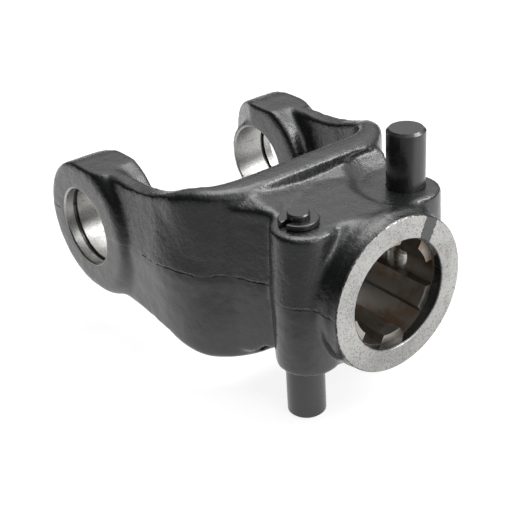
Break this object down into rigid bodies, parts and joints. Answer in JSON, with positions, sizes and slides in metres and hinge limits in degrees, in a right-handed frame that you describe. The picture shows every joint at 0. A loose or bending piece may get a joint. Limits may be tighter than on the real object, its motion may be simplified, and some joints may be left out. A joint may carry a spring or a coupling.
{
  "type": "quick release yoke",
  "caption": "Forged driveline yoke with bored fork ears and a splined hub that spring-loaded push pins lock to the shaft.",
  "frame": {"origin": "where the axis of the ear bores meets the axis of the splined bore", "axes": "+X along the splined bore to the open face of the hub, +Y along the ear bores, +Z along the push pins, square to the parting plane of the forging"},
  "size_m": [0.1283, 0.092, 0.0826],
  "materials": {
    "black_paint": "thin satin black paint over forged steel, bare machined steel in the bores and on the hub face",
    "blackened_steel": "satin black turned steel",
    "ring_steel": "black flattened spring steel",
    "spring_steel": "drawn spring wire"
  },
  "bodies": {
    "yoke": {"yoke_forging": "black_paint", "pin_spring_a": "spring_steel", "pin_spring_b": "spring_steel"},
    "pin_a": {"push_pin_a": "blackened_steel", "retaining_ring_a": "ring_steel"},
    "pin_b": {"push_pin_b": "blackened_steel", "retaining_ring_b": "ring_steel"}
  },
  "joints": [
    {"name": "pin_a_push", "type": "slide", "parent": "yoke", "child": "pin_a", "axis": [0, 0, 1], "range_m": [0, 0.01], "stiffness_N_per_m": 2000, "springref_m": -0.006, "deforming": ["pin_spring_a"]},
    {"name": "pin_b_push", "type": "slide", "parent": "yoke", "child": "pin_b", "axis": [0, 0, -1], "range_m": [0, 0.01], "stiffness_N_per_m": 2000, "springref_m": -0.006, "deforming": ["pin_spring_b"]}
  ]
}
